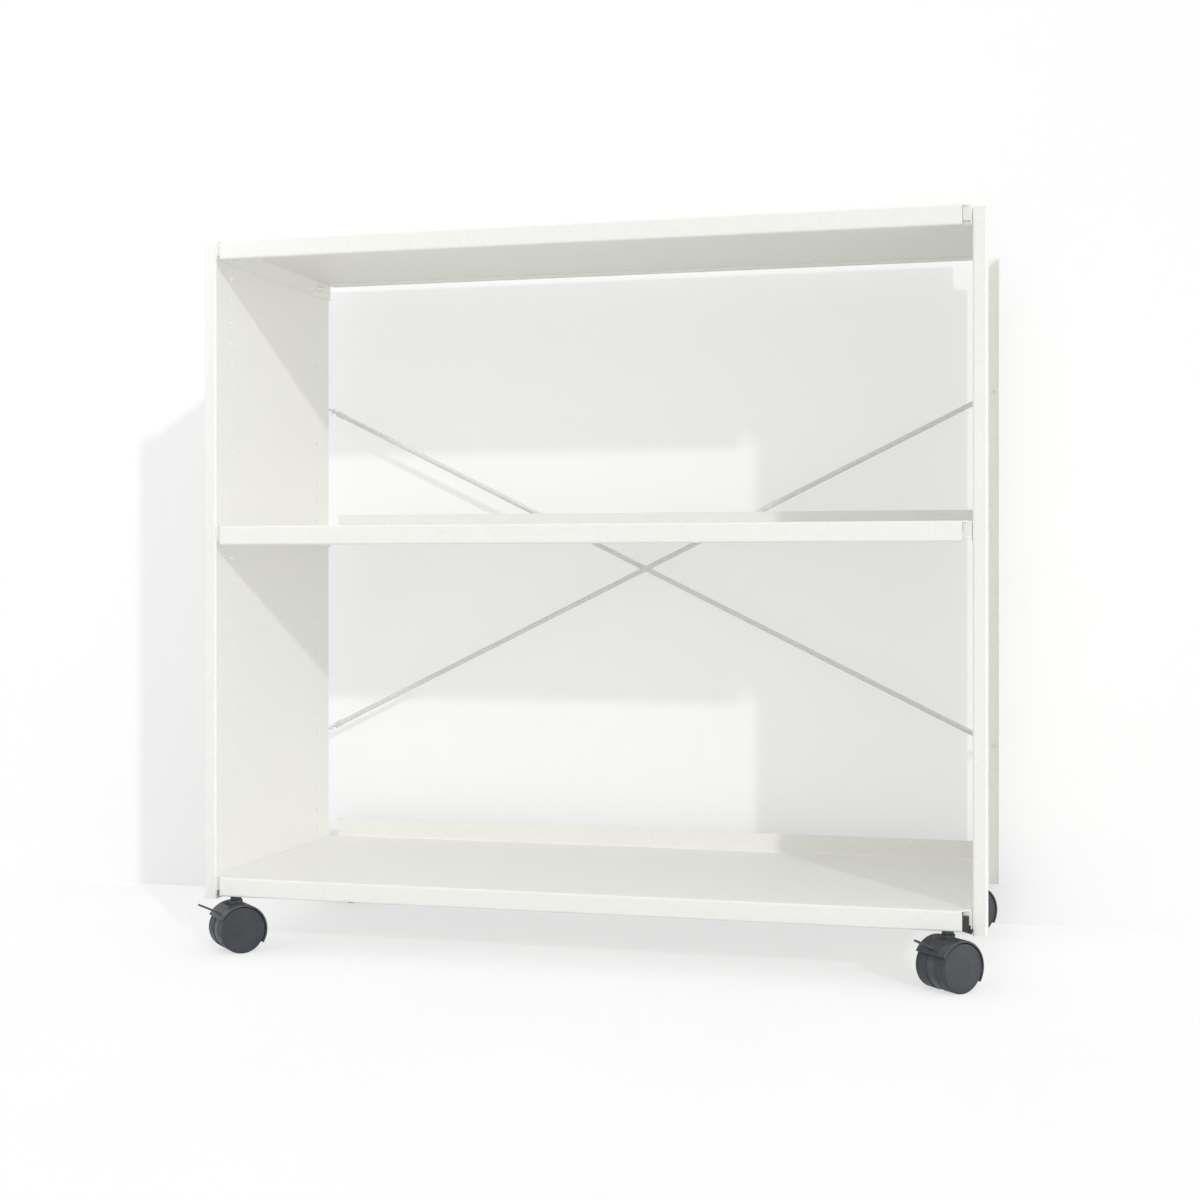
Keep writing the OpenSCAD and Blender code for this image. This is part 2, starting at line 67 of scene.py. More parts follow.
class Corner(Enum):
    """Where a castor stands: the signs of its X and Y."""

    FRONT_LEFT = (-1, -1)
    FRONT_RIGHT = (1, -1)
    REAR_LEFT = (-1, 1)
    REAR_RIGHT = (1, 1)

    @property
    def label(self) -> str:
        """The corner as node and body names have it."""
        return self.name.lower()


class WheelSide(Enum):
    """Which of a castor's two wheels: the sign along its axle."""

    A = -1
    B = 1

    @property
    def label(self) -> str:
        """The wheel's letter in node and body names."""
        return self.name.lower()


# Finishes


class NodeSheet:
    """A material's node tree, laid out by short calls."""

    def __init__(self, name: str) -> None:
        """Starts an empty tree with an output.

        Args:
            name: The material's name.
        """
        self.material = bpy.data.materials.new(name)
        self.material.use_nodes = True
        self.tree = self.material.node_tree
        self.tree.nodes.clear()
        self.output = self.add("ShaderNodeOutputMaterial")

    def add(self, kind: str, **values: object) -> bpy.types.Node:
        """Adds a node and sets its properties and sockets by name.

        Args:
            kind: The node's type.
            values: Properties of the node, or inputs written with _ for a space.

        Returns:
            The new node.
        """
        node = self.tree.nodes.new(kind)
        for name, value in values.items():
            socket = node.inputs.get(name.replace("_", " "))
            if socket is not None:
                socket.default_value = value
            else:
                setattr(node, name, value)
        return node

    def link(self, source: bpy.types.NodeSocket, target: bpy.types.NodeSocket) -> None:
        """Joins two sockets."""
        self.tree.links.new(source, target)

    def place(self, stretch: Point = (1.0, 1.0, 1.0)) -> bpy.types.NodeSocket:
        """Object coordinates, stretched.

        Args:
            stretch: Factors along X, Y and Z.

        Returns:
            The socket with the coordinates.
        """
        mapping = self.add("ShaderNodeMapping", Scale=stretch)
        self.link(self.add("ShaderNodeTexCoord").outputs["Object"], mapping.inputs["Vector"])
        return mapping.outputs["Vector"]

    def noise(self, scale: float, detail: float = 3.0, rough: float = 0.5,
              stretch: Point = (1.0, 1.0, 1.0)) -> bpy.types.NodeSocket:
        """A cloud of noise in object space.

        Args:
            scale: Cells in a metre.
            detail: Octaves of finer noise.
            rough: Weight of each finer octave.
            stretch: Factors along X, Y and Z.

        Returns:
            The socket with the noise, about 0.3 to 0.7.
        """
        node = self.add("ShaderNodeTexNoise", Scale=scale, Detail=detail, Roughness=rough)
        self.link(self.place(stretch), node.inputs["Vector"])
        return node.outputs["Fac"]

    def remap(self, source: bpy.types.NodeSocket, low: float, high: float, to_low: float,
              to_high: float) -> bpy.types.NodeSocket:
        """Moves a value from one range to another and clamps it.

        Args:
            source: The value.
            low: Start of its range.
            high: End of its range.
            to_low: Start of the new range.
            to_high: End of the new range.

        Returns:
            The socket with the moved value.
        """
        node = self.add("ShaderNodeMapRange", From_Min=low, From_Max=high, To_Min=to_low, To_Max=to_high)
        self.link(source, node.inputs["Value"])
        return node.outputs["Result"]

    def blend(self, factor: bpy.types.NodeSocket, first: Colour, second: Colour) -> bpy.types.NodeSocket:
        """Mixes two colours by a factor.

        Args:
            factor: 0 gives the first colour and 1 the second.
            first: A linear colour.
            second: A linear colour.

        Returns:
            The socket with the colour.
        """
        node = self.add("ShaderNodeMix", data_type="RGBA")
        node.inputs[6].default_value = (*first, 1.0)
        node.inputs[7].default_value = (*second, 1.0)
        self.link(factor, node.inputs[0])
        return node.outputs[2]

    def relief(self, heights: Sequence[tuple[bpy.types.NodeSocket, float, float]]) -> bpy.types.NodeSocket:
        """Stacks bumps on each other.

        Args:
            heights: For each bump its height socket, strength and depth in metres.

        Returns:
            The socket with the bumped normal.
        """
        normal = None
        for height, strength, depth in heights:
            bump = self.add("ShaderNodeBump", Strength=strength, Distance=depth)
            self.link(height, bump.inputs["Height"])
            if normal is not None:
                self.link(normal, bump.inputs["Normal"])
            normal = bump.outputs["Normal"]
        return normal

    def surface(self, colour: bpy.types.NodeSocket, roughness: bpy.types.NodeSocket, normal: bpy.types.NodeSocket,
                **uniform: object) -> bpy.types.Material:
        """Ends the tree in a principled surface.

        Args:
            colour: The base colour.
            roughness: The roughness.
            normal: The bumped normal.
            uniform: Values that are the same all over, set on the shader's own sockets.

        Returns:
            The material.
        """
        shader = self.add("ShaderNodeBsdfPrincipled", **uniform)
        self.link(colour, shader.inputs["Base Color"])
        self.link(roughness, shader.inputs["Roughness"])
        self.link(normal, shader.inputs["Normal"])
        self.link(shader.outputs["BSDF"], self.output.inputs["Surface"])
        return self.material


@dataclass(frozen=True)
class PowderCoat:
    """Satin powder coat on sheet steel: faint clouds in the tone, fine orange peel, a slow waviness of the sheet."""

    name: str = "white_powder_coat"
    tone: Colour = (0.884, 0.882, 0.846)
    shade: Colour = (0.852, 0.850, 0.815)
    cloud_scale: float = 210.0
    peel_scale: float = 620.0
    wave_scale: float = 5.0
    gloss: float = 0.42

    def make(self) -> bpy.types.Material:
        """Lays out the node tree and returns the material."""
        sheet = NodeSheet(self.name)
        clouds = sheet.noise(self.cloud_scale, detail=4.0, rough=0.62)
        peel = sheet.noise(self.peel_scale, detail=2.0)
        waves = sheet.noise(self.wave_scale, detail=1.0)
        colour = sheet.blend(sheet.remap(clouds, 0.35, 0.65, 1.0, 0.0), self.tone, self.shade)
        roughness = sheet.remap(clouds, 0.3, 0.7, self.gloss - 0.05, self.gloss + 0.06)
        normal = sheet.relief([(waves, 0.25, 0.002), (peel, 0.22, 0.0002)])
        return sheet.surface(colour, roughness, normal, Specular_IOR_Level=0.42)


@dataclass(frozen=True)
class ZincPlate:
    """Bright zinc plate: a mottled metal with fine drawn lines."""

    name: str = "bright_zinc"
    tone: Colour = (0.86, 0.86, 0.84)
    shade: Colour = (0.78, 0.78, 0.76)
    gloss: float = 0.34
    metal: float = 0.6
    spot_scale: float = 420.0
    line_scale: float = 900.0

    def make(self) -> bpy.types.Material:
        """Lays out the node tree and returns the material."""
        sheet = NodeSheet(self.name)
        spots = sheet.noise(self.spot_scale, detail=3.0, rough=0.6)
        lines = sheet.noise(self.line_scale, detail=1.0, stretch=(1.0, 1.0, 0.12))
        colour = sheet.blend(sheet.remap(spots, 0.38, 0.62, 0.0, 1.0), self.tone, self.shade)
        roughness = sheet.remap(spots, 0.3, 0.7, self.gloss - 0.06, self.gloss + 0.12)
        normal = sheet.relief([(lines, 0.15, 0.0001)])
        return sheet.surface(colour, roughness, normal, Metallic=self.metal)


@dataclass(frozen=True)
class DippedZinc:
    """Matt grey of dipped wire: soft crystals in the tone and small runs along it."""

    name: str = "dipped_zinc"
    tone: Colour = (0.79, 0.79, 0.78)
    shade: Colour = (0.69, 0.69, 0.69)
    gloss: float = 0.52
    crystal_scale: float = 260.0
    grain_scale: float = 700.0
    metal: float = 0.1

    def make(self) -> bpy.types.Material:
        """Lays out the node tree and returns the material."""
        sheet = NodeSheet(self.name)
        crystals = sheet.add("ShaderNodeTexVoronoi", Scale=self.crystal_scale)
        sheet.link(sheet.place(), crystals.inputs["Vector"])
        grain = sheet.noise(self.grain_scale, detail=2.0)
        colour = sheet.blend(sheet.remap(crystals.outputs["Distance"], 0.1, 0.7, 0.0, 1.0), self.tone, self.shade)
        roughness = sheet.remap(grain, 0.3, 0.7, self.gloss - 0.08, self.gloss + 0.08)
        normal = sheet.relief([(grain, 0.2, 0.0001)])
        return sheet.surface(colour, roughness, normal, Metallic=self.metal)


@dataclass(frozen=True)
class MouldedPlastic:
    """Injection-moulded plastic: spark-eroded grain, slow flow marks and a few rubbed patches."""

    name: str
    tone: Colour
    shade: Colour
    gloss: float = 0.36
    grain_scale: float = 1400.0
    flow_scale: float = 45.0
    rub_scale: float = 160.0

    def make(self) -> bpy.types.Material:
        """Lays out the node tree and returns the material."""
        sheet = NodeSheet(self.name)
        flow = sheet.noise(self.flow_scale, detail=3.0, rough=0.55)
        grain = sheet.noise(self.grain_scale, detail=1.0)
        rubs = sheet.noise(self.rub_scale, detail=5.0, rough=0.7, stretch=(1.0, 1.0, 2.2))
        colour = sheet.blend(sheet.remap(flow, 0.35, 0.65, 0.0, 1.0), self.tone, self.shade)
        roughness = sheet.remap(rubs, 0.35, 0.7, self.gloss + 0.07, self.gloss - 0.1)
        normal = sheet.relief([(flow, 0.15, 0.0005), (grain, 0.2, 0.0001)])
        return sheet.surface(colour, roughness, normal, Specular_IOR_Level=0.3)


@dataclass(frozen=True)
class TreadRubber:
    """Hard rubber tread: dry grain, dust in its pores and random patches of polish."""

    name: str = "tread_rubber"
    tone: Colour = (0.053, 0.060, 0.066)
    dust: Colour = (0.062, 0.069, 0.075)
    gloss: float = 0.55
    pore_scale: float = 520.0
    patch_scale: float = 60.0

    def make(self) -> bpy.types.Material:
        """Lays out the node tree and returns the material."""
        sheet = NodeSheet(self.name)
        pores = sheet.noise(self.pore_scale, detail=4.0, rough=0.65)
        patches = sheet.noise(self.patch_scale, detail=2.0)
        colour = sheet.blend(sheet.remap(pores, 0.52, 0.72, 0.0, 1.0), self.tone, self.dust)
        roughness = sheet.remap(patches, 0.35, 0.65, self.gloss - 0.12, self.gloss + 0.1)
        normal = sheet.relief([(pores, 0.3, 0.0001)])
        return sheet.surface(colour, roughness, normal, Specular_IOR_Level=0.25)


@dataclass(frozen=True)
class StagePaint:
    """Matt white of the floor and wall, which the camera sees raised to the photograph's white.

    The wall is painted on its front alone, so that the back of the furniture can be seen through it.
    """

    name: str
    glow: float
    bounce: Colour = (0.80, 0.80, 0.80)
    white: Colour = (0.98, 0.98, 0.98)
    plaster_scale: float = 3.0
    one_sided: bool = False

    def make(self) -> bpy.types.Material:
        """Lays out the node tree and returns the material."""
        sheet = NodeSheet(self.name)
        path = sheet.add("ShaderNodeLightPath")
        seen = sheet.add("ShaderNodeMath", operation="MAXIMUM")
        sheet.link(path.outputs["Is Camera Ray"], seen.inputs[0])
        sheet.link(path.outputs["Is Glossy Ray"], seen.inputs[1])
        plaster = sheet.noise(self.plaster_scale, detail=2.0)
        paint = sheet.add("ShaderNodeBsdfDiffuse")
        sheet.link(sheet.blend(seen.outputs[0], self.bounce, self.white), paint.inputs["Color"])
        sheet.link(sheet.remap(plaster, 0.3, 0.7, 0.1, 0.3), paint.inputs["Roughness"])
        light = sheet.add("ShaderNodeEmission", Strength=1.0)
        share = sheet.remap(seen.outputs[0], 0.0, 1.0, 0.0, self.glow)
        mix = sheet.add("ShaderNodeMixShader")
        sheet.link(share, mix.inputs[0])
        sheet.link(paint.outputs[0], mix.inputs[1])
        sheet.link(light.outputs[0], mix.inputs[2])
        front = mix
        if self.one_sided:
            front = sheet.add("ShaderNodeMixShader")
            sheet.link(sheet.add("ShaderNodeNewGeometry").outputs["Backfacing"], front.inputs[0])
            sheet.link(mix.outputs[0], front.inputs[1])
            sheet.link(sheet.add("ShaderNodeBsdfTransparent").outputs[0], front.inputs[2])
        sheet.link(front.outputs[0], sheet.output.inputs["Surface"])
        return sheet.material


class Finish(Enum):
    """The finishes of the piece, each with the record's slot that it stands for."""

    WHITE = (PowderCoat(), "white_paint")
    ZINC = (ZincPlate(), "zinc")
    # Dark zinc for the castor stems and lever pins: partly their own dark tone, partly painted shade under the shelf's
    # apron.
    DARK_ZINC = (ZincPlate("dark_zinc_and_painted_shade", (0.075, 0.08, 0.085), (0.055, 0.06, 0.064), 0.5), "zinc")
    WIRE = (DippedZinc(), "grey_zinc")
    BRACKET = (MouldedPlastic("bracket_black", (0.030, 0.030, 0.032), (0.042, 0.042, 0.045), gloss=0.45),
               "black_plastic")
    HOUSING = (MouldedPlastic("housing_slate", (0.056, 0.062, 0.069), (0.068, 0.074, 0.081)), "grey_plastic")
    DISC = (MouldedPlastic("disc_slate", (0.042, 0.046, 0.053), (0.050, 0.055, 0.062), gloss=0.4), "grey_plastic")
    TREAD = (TreadRubber(), "grey_rubber")

    @property
    def slot(self) -> str:
        """The record's material slot."""
        return self.value[1]


class Wardrobe:
    """Makes each finish once and puts it on pieces."""

    def __init__(self) -> None:
        """Starts with no material made."""
        self.made: dict[Finish, bpy.types.Material] = {}

    def get(self, finish: Finish) -> bpy.types.Material:
        """The finish's material, made when first asked for."""
        if finish not in self.made:
            self.made[finish] = finish.value[0].make()
        return self.made[finish]

    def dress(self, piece: bpy.types.Object, finish: Finish) -> None:
        """Gives a new piece its finish; the record's slot is only read, not given to it."""
        piece.data.materials.clear()
        piece.data.materials.append(self.get(finish))
        finish.slot

    def dress_nodes(self, prefix: str, finish: Finish) -> None:
        """Gives the CAD nodes whose names start with a prefix their finish.

        Args:
            prefix: How the nodes' names start.
            finish: What they are made of.
        """
        for name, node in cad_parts.items():
            if name.startswith(prefix):
                if not node.material_slots:
                    node.data.materials.append(None)
                for slot in node.material_slots:
                    slot.material = self.get(finish)
                log.info("dressed %s in %s", name, finish.name.lower())


# Modelling moves


class Bench:
    """Blender's own modelling operators, one piece on the bench at a time."""

    @staticmethod
    def clear() -> None:
        """Deselects everything."""
        bpy.ops.object.select_all(action="DESELECT")

    @staticmethod
    def cylinder(name: str, radius: float, low: float, high: float, sides: int) -> bpy.types.Object:
        """Adds an upright cylinder round the Z axis.

        Args:
            name: The piece's name.
            radius: Its radius.
            low: Its lower end.
            high: Its upper end.
            sides: Its number of sides.

        Returns:
            The new object.
        """
        Bench.clear()
        bpy.ops.mesh.primitive_cylinder_add(vertices=sides, radius=radius, depth=high - low,
                                            location=(0, 0, (low + high) / 2))
        piece = bpy.context.object
        piece.name = piece.data.name = name
        Bench.settle(piece)
        return piece

    @staticmethod
    def settle(piece: bpy.types.Object) -> None:
        """Moves a piece's place, turn and scale into its mesh."""
        Bench.clear()
        piece.select_set(True)
        bpy.context.view_layer.objects.active = piece
        bpy.ops.object.transform_apply(location=True, rotation=True, scale=True)

    @staticmethod
    @contextmanager
    def editing(piece: bpy.types.Object) -> Iterator[None]:
        """Keeps a piece in edit mode, with nothing selected at first."""
        Bench.clear()
        piece.select_set(True)
        bpy.context.view_layer.objects.active = piece
        bpy.ops.object.mode_set(mode="EDIT")
        bpy.ops.mesh.select_mode(type="FACE")
        bpy.ops.mesh.select_all(action="DESELECT")
        yield
        bpy.ops.object.mode_set(mode="OBJECT")

    @staticmethod
    def pick(test: Callable[[bmesh.types.BMFace], bool]) -> None:
        """Selects only the faces that pass a test."""
        bpy.ops.mesh.select_mode(type="FACE")
        bpy.ops.mesh.select_all(action="DESELECT")
        mesh = bmesh.from_edit_mesh(bpy.context.object.data)
        for face in mesh.faces:
            if test(face):
                face.select_set(True)
        bmesh.update_edit_mesh(bpy.context.object.data)

    @staticmethod
    def pick_edges(test: Callable[[bmesh.types.BMEdge], bool]) -> None:
        """Selects only the edges that pass a test."""
        bpy.ops.mesh.select_mode(type="EDGE")
        bpy.ops.mesh.select_all(action="DESELECT")
        mesh = bmesh.from_edit_mesh(bpy.context.object.data)
        for edge in mesh.edges:
            if test(edge):
                edge.select_set(True)
        bmesh.update_edit_mesh(bpy.context.object.data)

    @staticmethod
    def cap_at(level: float) -> Callable[[bmesh.types.BMFace], bool]:
        """A test for the flat face round the Z axis at a level."""
        return lambda face: (len(face.verts) > 8 and abs(face.calc_center_median().z - level) < NEAR
                             and abs(face.normal.z) > 0.9)

    @staticmethod
    def ring_at(radius: float, level: float) -> Callable[[bmesh.types.BMEdge], bool]:
        """A test for the edges of a circle round the Z axis."""
        def test(edge: bmesh.types.BMEdge) -> bool:
            """Whether both ends lie on the circle."""
            return all(abs(v.co.z - level) < NEAR and abs(math.hypot(v.co.x, v.co.y) - radius) < 10 * NEAR
                       for v in edge.verts)
        return test

    @staticmethod
    def inset(width: float) -> None:
        """Insets the selected faces."""
        bpy.ops.mesh.inset(thickness=width, use_even_offset=True)

    @staticmethod
    def lift(height: float) -> None:
        """Extrudes the selected faces along Z."""
        bpy.ops.mesh.extrude_region_move(TRANSFORM_OT_translate={"value": (0, 0, height)})

    @staticmethod
    def widen(factor: float) -> None:
        """Scales the selection across the Z axis."""
        bpy.ops.transform.resize(value=(factor, factor, 1), center_override=(0, 0, 0))

    @staticmethod
    def round_off(width: float, steps: int) -> None:
        """Bevels the selected edges."""
        bpy.ops.mesh.bevel(offset=width, segments=steps, affect="EDGES", clamp_overlap=True)

    @staticmethod
    def cut(level: float) -> None:
        """Cuts the whole mesh through at a height."""
        bpy.ops.mesh.select_all(action="SELECT")
        bpy.ops.mesh.bisect(plane_co=(0, 0, level), plane_no=(0, 0, 1))

    @staticmethod
    def face_outwards() -> None:
        """Turns every face's normal outwards."""
        bpy.ops.mesh.select_all(action="SELECT")
        bpy.ops.mesh.normals_make_consistent(inside=False)

    @staticmethod
    def smooth(piece: bpy.types.Object, degrees: float = 32.0) -> None:
        """Shades a piece smooth but for its sharp edges."""
        Bench.clear()
        piece.select_set(True)
        bpy.context.view_layer.objects.active = piece
        bpy.ops.object.shade_smooth_by_angle(angle=math.radians(degrees))

    @staticmethod
    def copy(model: bpy.types.Object, name: str, place: Matrix) -> bpy.types.Object:
        """Copies a model with a mesh of its own, and puts it in its place.

        Args:
            model: The piece to copy.
            name: The copy's name.
            place: Where it goes, which becomes part of its mesh.

        Returns:
            The copy.
        """
        piece = model.copy()
        piece.data = model.data.copy()
        piece.name = piece.data.name = name
        bpy.context.scene.collection.objects.link(piece)
        piece.matrix_world = place
        Bench.settle(piece)
        return piece

    @staticmethod
    def join(pieces: Sequence[bpy.types.Object], name: str) -> bpy.types.Object:
        """Joins pieces into one.

        Args:
            pieces: What to join.
            name: The joined piece's name.

        Returns:
            The joined piece.
        """
        Bench.clear()
        for piece in pieces:
            piece.select_set(True)
        bpy.context.view_layer.objects.active = pieces[0]
        bpy.ops.object.join()
        joined = bpy.context.object
        joined.name = joined.data.name = name
        return joined

    @staticmethod
    def scrap(piece: bpy.types.Object) -> None:
        """Removes a model that is needed no more."""
        bpy.data.objects.remove(piece)


# The furniture


@dataclass
class SheetMetal:
    """The folded side panels and shelves, whose CAD meshes stay."""

    nodes: tuple[str, ...] = ("side_panel", "shelf_bottom", "shelf_middle", "shelf_top")

    def dress(self, wardrobe: Wardrobe) -> None:
        """Powder-coats them."""
        for prefix in self.nodes:
            wardrobe.dress_nodes(prefix, Finish.WHITE)


@dataclass
class Fasteners:
    """Shelf pins, bracket screws, castor stems and axles, and the pins of the levers."""

    bright: tuple[str, ...] = ("shelf_pins", "bracket_screws", "castor_axle")
    dark: tuple[str, ...] = ("castor_stem", "lever_pin")

    def dress(self, wardrobe: Wardrobe) -> None:
        """Plates them with bright zinc, and gives the castors' own a dark zinc tone that is partly painted shade from
        the aprons above.
        """
        for prefix in self.bright:
            wardrobe.dress_nodes(prefix, Finish.ZINC)
        for prefix in self.dark:
            wardrobe.dress_nodes(prefix, Finish.DARK_ZINC)


@dataclass
class Brackets:
    """The castor brackets, the front left one with its outer corner cut back behind the end of the shelf's apron."""

    apron_end: tuple[float, float] = (496.7 * MM, -13 * MM)
    slant: float = 0.498

    def trim(self, corner: Corner, wardrobe: Wardrobe) -> None:
        """Models a bracket without its outer corner, which the apron doesn't hide.

        Args:
            corner: Where the bracket is.
            wardrobe: What dresses it.
        """
        node = f"castor_bracket_{corner.label}"
        side = corner.value[0]
        piece = Bench.copy(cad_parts[node], f"trimmed_bracket_{corner.label}", Matrix.Identity(4))
        with Bench.editing(piece):
            bpy.ops.mesh.customdata_custom_splitnormals_clear()
            bpy.ops.mesh.select_all(action="SELECT")
            bpy.ops.mesh.remove_doubles(threshold=NEAR)
            bpy.ops.mesh.bisect(plane_co=(side * self.apron_end[0], self.apron_end[1] - MID_Y, 0),
                                plane_no=(side, -self.slant, 0), use_fill=True, clear_outer=True)
            Bench.face_outwards()
        Bench.smooth(piece)
        wardrobe.dress(piece, Finish.BRACKET)
        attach(piece, "frame")
        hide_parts(node)
        log.info("trimmed %s", piece.name)

    def build(self, wardrobe: Wardrobe) -> None:
        """Trims the front left bracket and dresses the other ones."""
        self.trim(Corner.FRONT_LEFT, wardrobe)
        wardrobe.dress_nodes("castor_bracket_front_right", Finish.BRACKET)
        wardrobe.dress_nodes("castor_bracket_rear", Finish.BRACKET)


@dataclass
class CrossBrace:
    """Two dipped rods with crimped sleeves and wire hooks behind the shelves."""

    half_span: float = 519 * MM
    half_rise: float = 255 * MM
    middle_z: float = 523 * MM
    rod_y: tuple[float, float] = (408.3 * MM, 416.4 * MM)
    neck: float = 15 * MM
    sleeve_r: float = 4.6 * MM
    sleeve_len: float = 14 * MM
    mouth_r: float = 3.82 * MM
    sides: int = 40
    crimps: int = 3
    crimp_half: float = 1.1 * MM
    crimp_depth: float = 0.35 * MM
    crimp_round: float = 0.5 * MM
    end_round: float = 0.9 * MM
    lip_round: float = 0.35 * MM
    end_wall: float = 2 * MM

    def sleeve(self) -> bpy.types.Object:
        """One sleeve, upright from its open end, with rings pressed into it by the crimping tool.

        Returns:
            The model, with its closed end at the top.
        """
        piece = Bench.cylinder("sleeve_model", self.sleeve_r, 0.0, self.sleeve_len, self.sides)
        pitch = self.sleeve_len / (self.crimps + 1)
        with Bench.editing(piece):
            for n in range(self.crimps):
                middle = (n + 1) * pitch
                for level in (middle - self.crimp_half, middle, middle + self.crimp_half):
                    Bench.cut(level)
                Bench.pick_edges(Bench.ring_at(self.sleeve_r, middle))
                Bench.widen(1 - self.crimp_depth / self.sleeve_r)
                Bench.round_off(self.crimp_round, 3)
            for level, width in ((self.sleeve_len, self.end_round), (0.0, self.lip_round)):
                Bench.pick_edges(Bench.ring_at(self.sleeve_r, level))
                Bench.round_off(width, 4)
            Bench.pick(Bench.cap_at(0.0))
            Bench.inset(self.sleeve_r - self.lip_round - self.mouth_r)
            Bench.lift(self.sleeve_len - self.end_wall)
        Bench.smooth(piece)
        return piece

    def ends(self) -> Iterator[Matrix]:
        """Where the sleeves go: for each, a frame whose Z axis runs out along its rod."""
        length = math.hypot(2 * self.half_span, 2 * self.half_rise) / 2
        for rod_y, rise in zip(self.rod_y, (1, -1)):
            for end in (-1, 1):
                along = Vector((end * self.half_span, 0, end * rise * self.half_rise)).normalized()
                start = Vector((0, rod_y - MID_Y, self.middle_z)) + along * (length - self.neck - self.sleeve_len)
                yield Matrix.Translation(start) @ along.to_track_quat("Z", "Y").to_matrix().to_4x4()

    def build(self, wardrobe: Wardrobe) -> None:
        """Models the sleeves and dresses the brace."""
        model = self.sleeve()
        copies = [Bench.copy(model, f"crimped_sleeve_{n}", place) for n, place in enumerate(self.ends())]
        Bench.scrap(model)
        sleeves = Bench.join(copies, "crimped_sleeves")
        wardrobe.dress(sleeves, Finish.WIRE)
        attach(sleeves, "frame")
        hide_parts("brace_sleeves")
        for prefix in ("brace_rod", "brace_hooks"):
            wardrobe.dress_nodes(prefix, Finish.WIRE)
        log.info("crimped four sleeves on the cross brace")


@dataclass
class Wheel:
    """One wheel of a castor, upright on the Z axis with its face at the top and the castor's middle at zero."""

    tread_r: float = 31 * MM
    rim_r: float = 27 * MM
    face_r: float = 29.8 * MM
    hub_r: float = 8 * MM
    bore_r: float = 4.05 * MM
    inner: float = 6.45 * MM
    rim_in: float = 6.5 * MM
    disc_in: float = 23.4 * MM
    face: float = 26.5 * MM
    tread_out: float = 26 * MM
    axle_end: float = 23.2 * MM
    rim_wall: float = 2.5 * MM
    disc_round: float = 0.7 * MM
    groove_off: float = 4.2 * MM
    groove_half: float = 0.35 * MM
    groove_depth: float = 0.3 * MM
    shoulders: tuple[float, float] = (0.5 * MM, 1.0 * MM)
    steps: tuple[tuple[float, float], ...] = (
        (2.0 * MM, 0.0), (0.3 * MM, -0.45 * MM), (15.6 * MM, 0.15 * MM), (0.4 * MM, -0.35 * MM))
    sides: int = 96

    def disc(self) -> bpy.types.Object:
        """The moulded core: hollow behind with a hub, and a stepped face with a shallow ring.

        Returns:
            The model.
        """
        piece = Bench.cylinder("wheel_disc_model", self.rim_r, self.rim_in, self.disc_in, self.sides)
        with Bench.editing(piece):
            Bench.pick(Bench.cap_at(self.disc_in))
            Bench.lift(0)
            Bench.widen(self.face_r / self.rim_r)
            Bench.lift(self.face - self.disc_in)
            for width, step in self.steps:
                Bench.inset(width)
                bpy.ops.transform.translate(value=(0, 0, step))
            Bench.pick(Bench.cap_at(self.rim_in))
            Bench.inset(self.rim_wall)
            Bench.lift(self.disc_in - self.rim_in)
            Bench.inset(self.rim_r - self.rim_wall - self.hub_r)
            Bench.lift(self.inner - self.disc_in)
            Bench.inset(self.hub_r - self.bore_r)
            Bench.lift(self.axle_end - self.inner)
            Bench.pick_edges(Bench.ring_at(self.face_r, self.face))
            Bench.round_off(self.disc_round, 4)
        Bench.smooth(piece)
        return piece

    def tread(self) -> bpy.types.Object:
        """The tread: a band with rounded shoulders and two fine grooves, open in the middle for the rim.

        Returns:
            The model.
        """
        piece = Bench.cylinder("wheel_tread_model", self.tread_r, self.rim_in, self.tread_out, self.sides)
        middle = (self.rim_in + self.tread_out) / 2
        with Bench.editing(piece):
            for groove in (middle - self.groove_off, middle + self.groove_off):
                for level in (groove - self.groove_half, groove, groove + self.groove_half):
                    Bench.cut(level)
                Bench.pick_edges(Bench.ring_at(self.tread_r, groove))
                Bench.widen(1 - self.groove_depth / self.tread_r)
            Bench.pick(Bench.cap_at(self.tread_out))
            Bench.inset(self.tread_r - self.face_r)
            Bench.lift(self.disc_in - self.tread_out)
            Bench.inset(self.face_r - self.rim_r)
            Bench.pick(Bench.cap_at(self.rim_in))
            Bench.inset(self.tread_r - self.rim_r)
            Bench.pick(lambda face: len(face.verts) == self.sides)
            bpy.ops.mesh.delete(type="ONLY_FACE")
            Bench.pick_edges(lambda edge: edge.is_boundary)
            bpy.ops.mesh.bridge_edge_loops()
            Bench.face_outwards()
            for level, width in zip((self.rim_in, self.tread_out), self.shoulders):
                Bench.pick_edges(Bench.ring_at(self.tread_r, level))
                Bench.round_off(width, 4)
        Bench.smooth(piece)
        return piece


